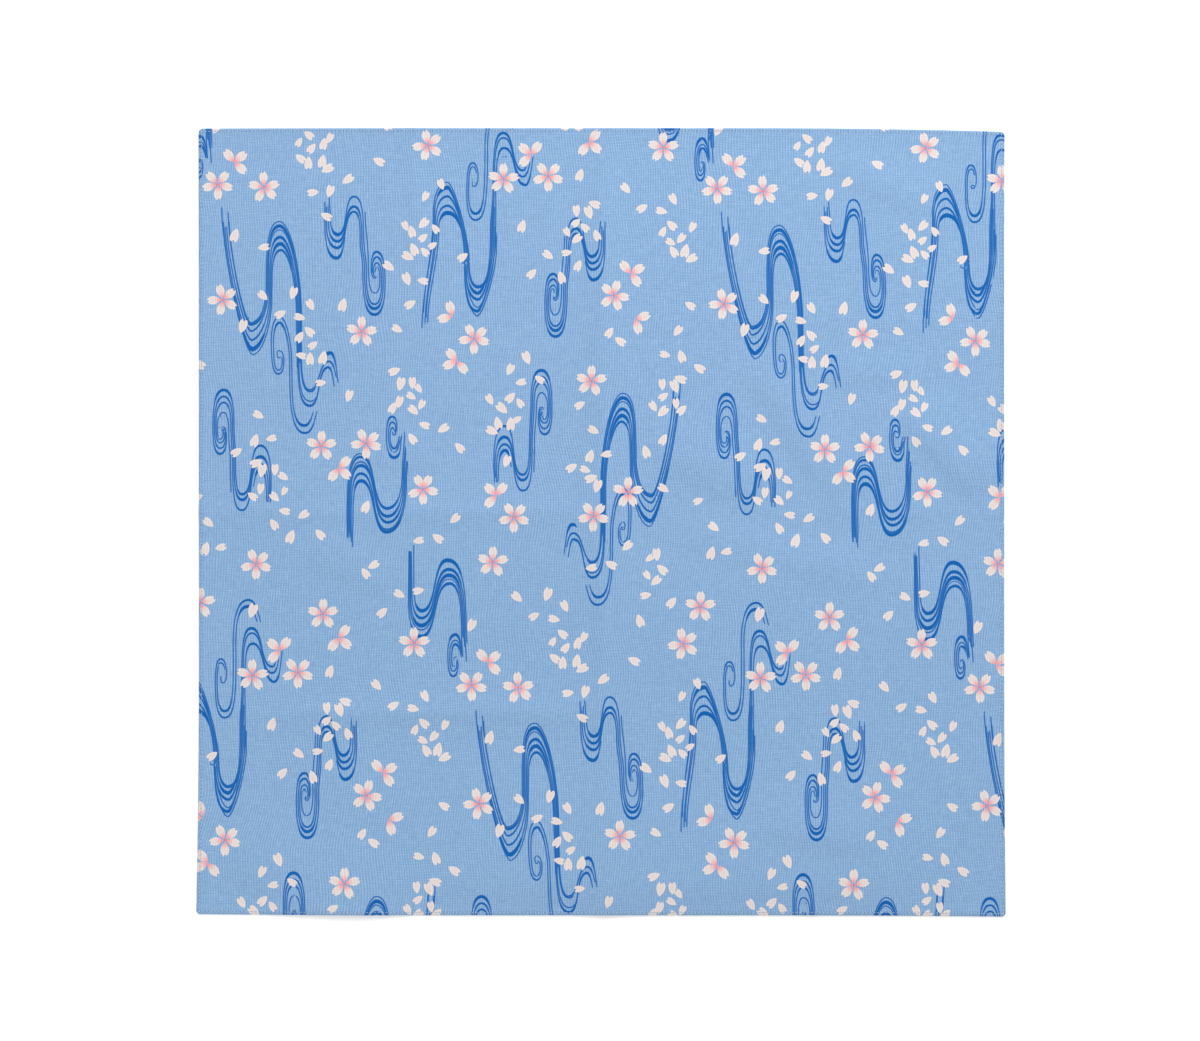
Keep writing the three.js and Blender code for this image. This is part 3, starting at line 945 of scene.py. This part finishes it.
rib = (upright_rib * UPRIGHT_RIB + level_rib * LEVEL_RIB) * (fleck + FLECK_MIDDLE)

water = 0
bold = 0
for layer in range(LINE_LAYERS):
    kept = cotton.attribute(f"water_{layer + 1}")
    round_x, round_y, round_radius = cotton.parts(kept.outputs["Color"])
    half_width = Value(cotton, kept.outputs["Alpha"])
    from_middle = ((place_x - round_x) ** 2 + (place_y - round_y) ** 2) ** 0.5
    inked = ((half_width - abs(from_middle - round_radius)) / SOFT_EDGE + 0.5).within()
    strength = ((half_width - BOLD_FROM) / (BOLD_TO - BOLD_FROM)).within() * inked
    water = inked.greater(water)
    bold = strength.greater(bold)

petal = 0
blush = 0
middle_of_petal = 0
for layer in range(PETAL_LAYERS):
    kept = cotton.attribute(f"petal_{layer + 1}")
    along, across, blossom = cotton.parts(kept.outputs["Color"])
    broadness = Value(cotton, kept.outputs["Alpha"])
    run = along.greater(0).lesser(1)
    slimness = blossom * (BLOSSOM_SLIMNESS - LOOSE_SLIMNESS) + LOOSE_SLIMNESS
    taper = blossom * (BLOSSOM_TAPER - LOOSE_TAPER) + LOOSE_TAPER
    side_gap = broadness * run**slimness * (PETAL_FULLNESS - run) ** taper - abs(across)
    notch_gap = (abs(across - NOTCH_ASIDE) * NOTCH_SLOPE + NOTCH_PLACE) - along
    tip_gap = 1 - along
    inside_gap = side_gap.lesser(notch_gap).lesser(tip_gap).lesser(along + POINT_MARGIN)
    inked = (inside_gap / PETAL_SOFT_EDGE + 0.5).within()
    blushing = (BLUSH_FADES - along / BLUSH_REACH).within() * blossom * inked
    inner = (inside_gap / PETAL_RIM).within() * inked
    petal = inked.greater(petal)
    blush = blushing.greater(blush)
    middle_of_petal = inner.greater(middle_of_petal)

dot_x, dot_y, _ = cotton.parts(cotton.attribute("dot_place").outputs["Vector"])
dot = ((DOT_RADIUS - (dot_x**2 + dot_y**2) ** 0.5) / SOFT_EDGE + 0.5).within()

streaked = (STREAK_MIDDLE + warp * STREAK_WARP + slub * STREAK_SLUB).within()
ink_share = water * (INK_COVERS + bold * BOLD_COVERS + streaked * STREAK_COVERS).within()
ground_share = threads * PALE_THREADS + slub * PALE_SLUB + rib * PALE_RIB + PALE_MIDDLE
ground_share = ground_share.within()
ground_colour = cotton.blend(ground_share, GROUND_BLUE, PALE_BLUE)
water_colour = cotton.blend(bold, LEG_BLUE, DEEP_BLUE)
petal_colour = cotton.blend(middle_of_petal, PETAL_CREAM, PETAL_GREY)
petal_colour = cotton.blend(blush, petal_colour, PETAL_PINK)
face_colour = cotton.blend(ink_share, ground_colour, water_colour)
face_colour = cotton.blend(petal * PETAL_COVERS, face_colour, petal_colour)
face_colour = cotton.blend(dot, face_colour, DOT_CORAL)
face_colour = cotton.blend(wrong_side * BACK_COVERS, face_colour, BACK_BLUE)

cut_parts = cotton.parts(cotton.attribute("cut_place").outputs["Vector"])

# A needle hole in the middle of each stitch's pitch, along all four sides. Its darker blue is
# painted shade inside the hole.
stitch_lines = (HALF_WIDTH - STITCH_INSET, HALF_HEIGHT - STITCH_INSET)
stitch_counts = [round(2 * reach / STITCH_PITCH) for reach in stitch_lines]
holes = 0
for axis in (0, 1):
    pitch = 2 * stitch_lines[axis] / stitch_counts[axis]
    from_stitching = abs(abs(cut_parts[1 - axis]) - stitch_lines[1 - axis])
    share = ((cut_parts[axis] + stitch_lines[axis]) / pitch).math("FRACT")
    from_hole = abs(share - 0.5) * pitch
    from_middle = (from_stitching**2 + from_hole**2) ** 0.5
    hole = (HOLE_FADES - from_middle / HOLE_RADIUS).within()
    holes = hole.greater(holes)
colour = cotton.blend(holes * HOLE_COVERS, face_colour, HOLE_SHADE_BLUE)
# Painted shade: the hem darkens towards the edge, where its three layers let less light through
# from what the cloth lies on.
inset = (HALF_WIDTH - abs(cut_parts[0])).lesser(HALF_HEIGHT - abs(cut_parts[1]))
hem_painted_shade = ((HEM_DARKENS_FROM - inset) / (HEM_DARKENS_FROM - HEM_DARKENS_TO)).within()
shade = 1 + rib * RIB_SHADES + threads * THREADS_SHADE - hem_painted_shade * HEM_PAINTED_SHADE
shaded = cotton.node("ShaderNodeVectorMath", {0: colour, "Scale": shade}, operation="SCALE")
weave_height = threads * THREADS_RISE + slub * SLUB_RISES
bump = cotton.node("ShaderNodeBump", {
    "Height": weave_height - holes * HOLE_SINKS, "Strength": 0.35, "Distance": 0.00012,
})
cotton.surface({
    "Base Color": shaded.outputs["Vector"],
    "Normal": bump.outputs["Normal"],
    "Roughness": 0.92,
    "Specular IOR Level": 0.1,
    "Sheen Weight": 0.05,
    "Sheen Roughness": 0.5,
})

cloth_mesh.materials.append(cotton.material)
cloth = added("cloth_sheet", cloth_mesh)


# Hem thread: one line of machine stitches round the cloth, just inside its edge. The needle
# thread lies on the face and the bobbin thread on the back, and they lock in each hole.
THREAD_THICKNESS = 0.00034
STITCH_LENGTH = 0.0021
BEAD_SEGMENTS = 6
BEAD_RINGS = 4
THREAD_BLUE = linear(160, 182, 208)

guide_points = []
guide_edges = []
for is_face in (True, False):
    for axis, sign in ((0, 1), (0, -1), (1, -1), (1, 1)):
        count = stitch_counts[axis]
        cut_line = np.full((2, count + 1), sign * stitch_lines[1 - axis])
        cut_line[axis] = np.linspace(-stitch_lines[axis], stitch_lines[axis], count + 1)
        stitch_x, stitch_y = laid_place(*cut_line)
        upper_height, lower_height = hem_heights(*cut_line)
        height = relief(stitch_x, stitch_y) + (upper_height if is_face else lower_height)
        first = len(guide_points)
        guide_points.extend(np.stack([stitch_x, stitch_y, height], axis=1).tolist())
        guide_edges.extend((first + step, first + step + 1) for step in range(count))
thread_mesh = bpy.data.meshes.new("hem_thread_path")
thread_mesh.from_pydata(guide_points, guide_edges, [])
hem_thread_path = added("hem_thread_path", thread_mesh)

thread_finish = Finish("hem_thread")
thread_finish.surface({
    "Base Color": THREAD_BLUE,
    "Roughness": 0.75,
    "Specular IOR Level": 0.25,
})

sewing = bpy.data.node_groups.new("sewing", "GeometryNodeTree")
sockets = {}
for name, way, kind in (
    ("Path", "INPUT", "NodeSocketGeometry"),
    ("Stitch length", "INPUT", "NodeSocketFloat"),
    ("Thread thickness", "INPUT", "NodeSocketFloat"),
    ("Stitches", "OUTPUT", "NodeSocketGeometry"),
):
    sockets[name] = sewing.interface.new_socket(name, in_out=way, socket_type=kind)

given = add_node(sewing, "NodeGroupInput", {})
path = add_node(sewing, "GeometryNodeMeshToCurve", {"Mesh": given.outputs["Path"]})
tangent = add_node(sewing, "GeometryNodeInputTangent", {})
turn = add_node(sewing, "FunctionNodeAlignEulerToVector", {
    "Vector": tangent.outputs["Tangent"],
}, axis="X")
bead = add_node(sewing, "GeometryNodeMeshUVSphere", {
    "Segments": BEAD_SEGMENTS, "Rings": BEAD_RINGS, "Radius": 0.5,
})
scale = add_node(sewing, "ShaderNodeCombineXYZ", {
    "X": given.outputs["Stitch length"],
    "Y": given.outputs["Thread thickness"],
    "Z": given.outputs["Thread thickness"],
})
stitches = add_node(sewing, "GeometryNodeInstanceOnPoints", {
    "Points": path.outputs["Curve"],
    "Instance": bead.outputs["Mesh"],
    "Rotation": turn.outputs["Rotation"],
    "Scale": scale.outputs["Vector"],
})
real_stitches = add_node(sewing, "GeometryNodeRealizeInstances", {
    "Geometry": stitches.outputs["Instances"],
})
finished = add_node(sewing, "GeometryNodeSetMaterial", {
    "Geometry": real_stitches.outputs["Geometry"],
    "Material": thread_finish.material,
})
add_node(sewing, "NodeGroupOutput", {"Stitches": finished.outputs["Geometry"]})

sewn = hem_thread_path.modifiers.new("sewing", "NODES")
sewn.node_group = sewing
sewn[sockets["Stitch length"].identifier] = STITCH_LENGTH
sewn[sockets["Thread thickness"].identifier] = THREAD_THICKNESS
depsgraph = bpy.context.evaluated_depsgraph_get()
hem_mesh = bpy.data.meshes.new_from_object(hem_thread_path.evaluated_get(depsgraph))
bpy.data.objects.remove(hem_thread_path)
hem_mesh.shade_smooth()
hem_thread = added("hem_thread", hem_mesh)

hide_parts("cloth")
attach(cloth, "root")
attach(hem_thread, "root")


# Floor: a plain pale surface, which the cloth lies on.
HALF_FLOOR = 6.0
FLOOR_WHITE = (0.96, 0.96, 0.96, 1.0)
floor_mesh = bpy.data.meshes.new("floor")
floor_corners = [
    (sign_x * HALF_FLOOR, sign_y * HALF_FLOOR, 0)
    for sign_x, sign_y in ((-1, -1), (1, -1), (1, 1), (-1, 1))
]
floor_mesh.from_pydata(floor_corners, [], [(0, 1, 2, 3)])
floor = added("floor", floor_mesh)
floor_finish = Finish("floor")
floor_finish.surface({
    "Base Color": FLOOR_WHITE,
    "Roughness": 0.9,
    "Specular IOR Level": 0.1,
})
floor_mesh.materials.append(floor_finish.material)


# Light: a soft overhead light, a large one from the upper right that brings out the creases,
# and a weak one from the lower left.
OVERHEAD_WHITE = (1.0, 1.0, 1.0, 1.0)
OVERHEAD_STRENGTH = 0.77

world = bpy.data.worlds.new("soft_light")
world.use_nodes = True
overhead = world.node_tree.nodes["Background"]
overhead.inputs["Color"].default_value = OVERHEAD_WHITE
overhead.inputs["Strength"].default_value = OVERHEAD_STRENGTH
bpy.context.scene.world = world


def soft_light(name, place, size, power):
    light = bpy.data.lights.new(name, "AREA")
    light.size = size
    light.energy = power
    lamp = added(name, light)
    lamp.location = place
    lamp.rotation_euler = (-Vector(place)).to_track_quat("-Z", "Y").to_euler()


soft_light("key", place=(0.5, 1.25, 0.85), size=1.2, power=23)
soft_light("fill", place=(-0.8, -0.9, 0.9), size=1.0, power=5.5)
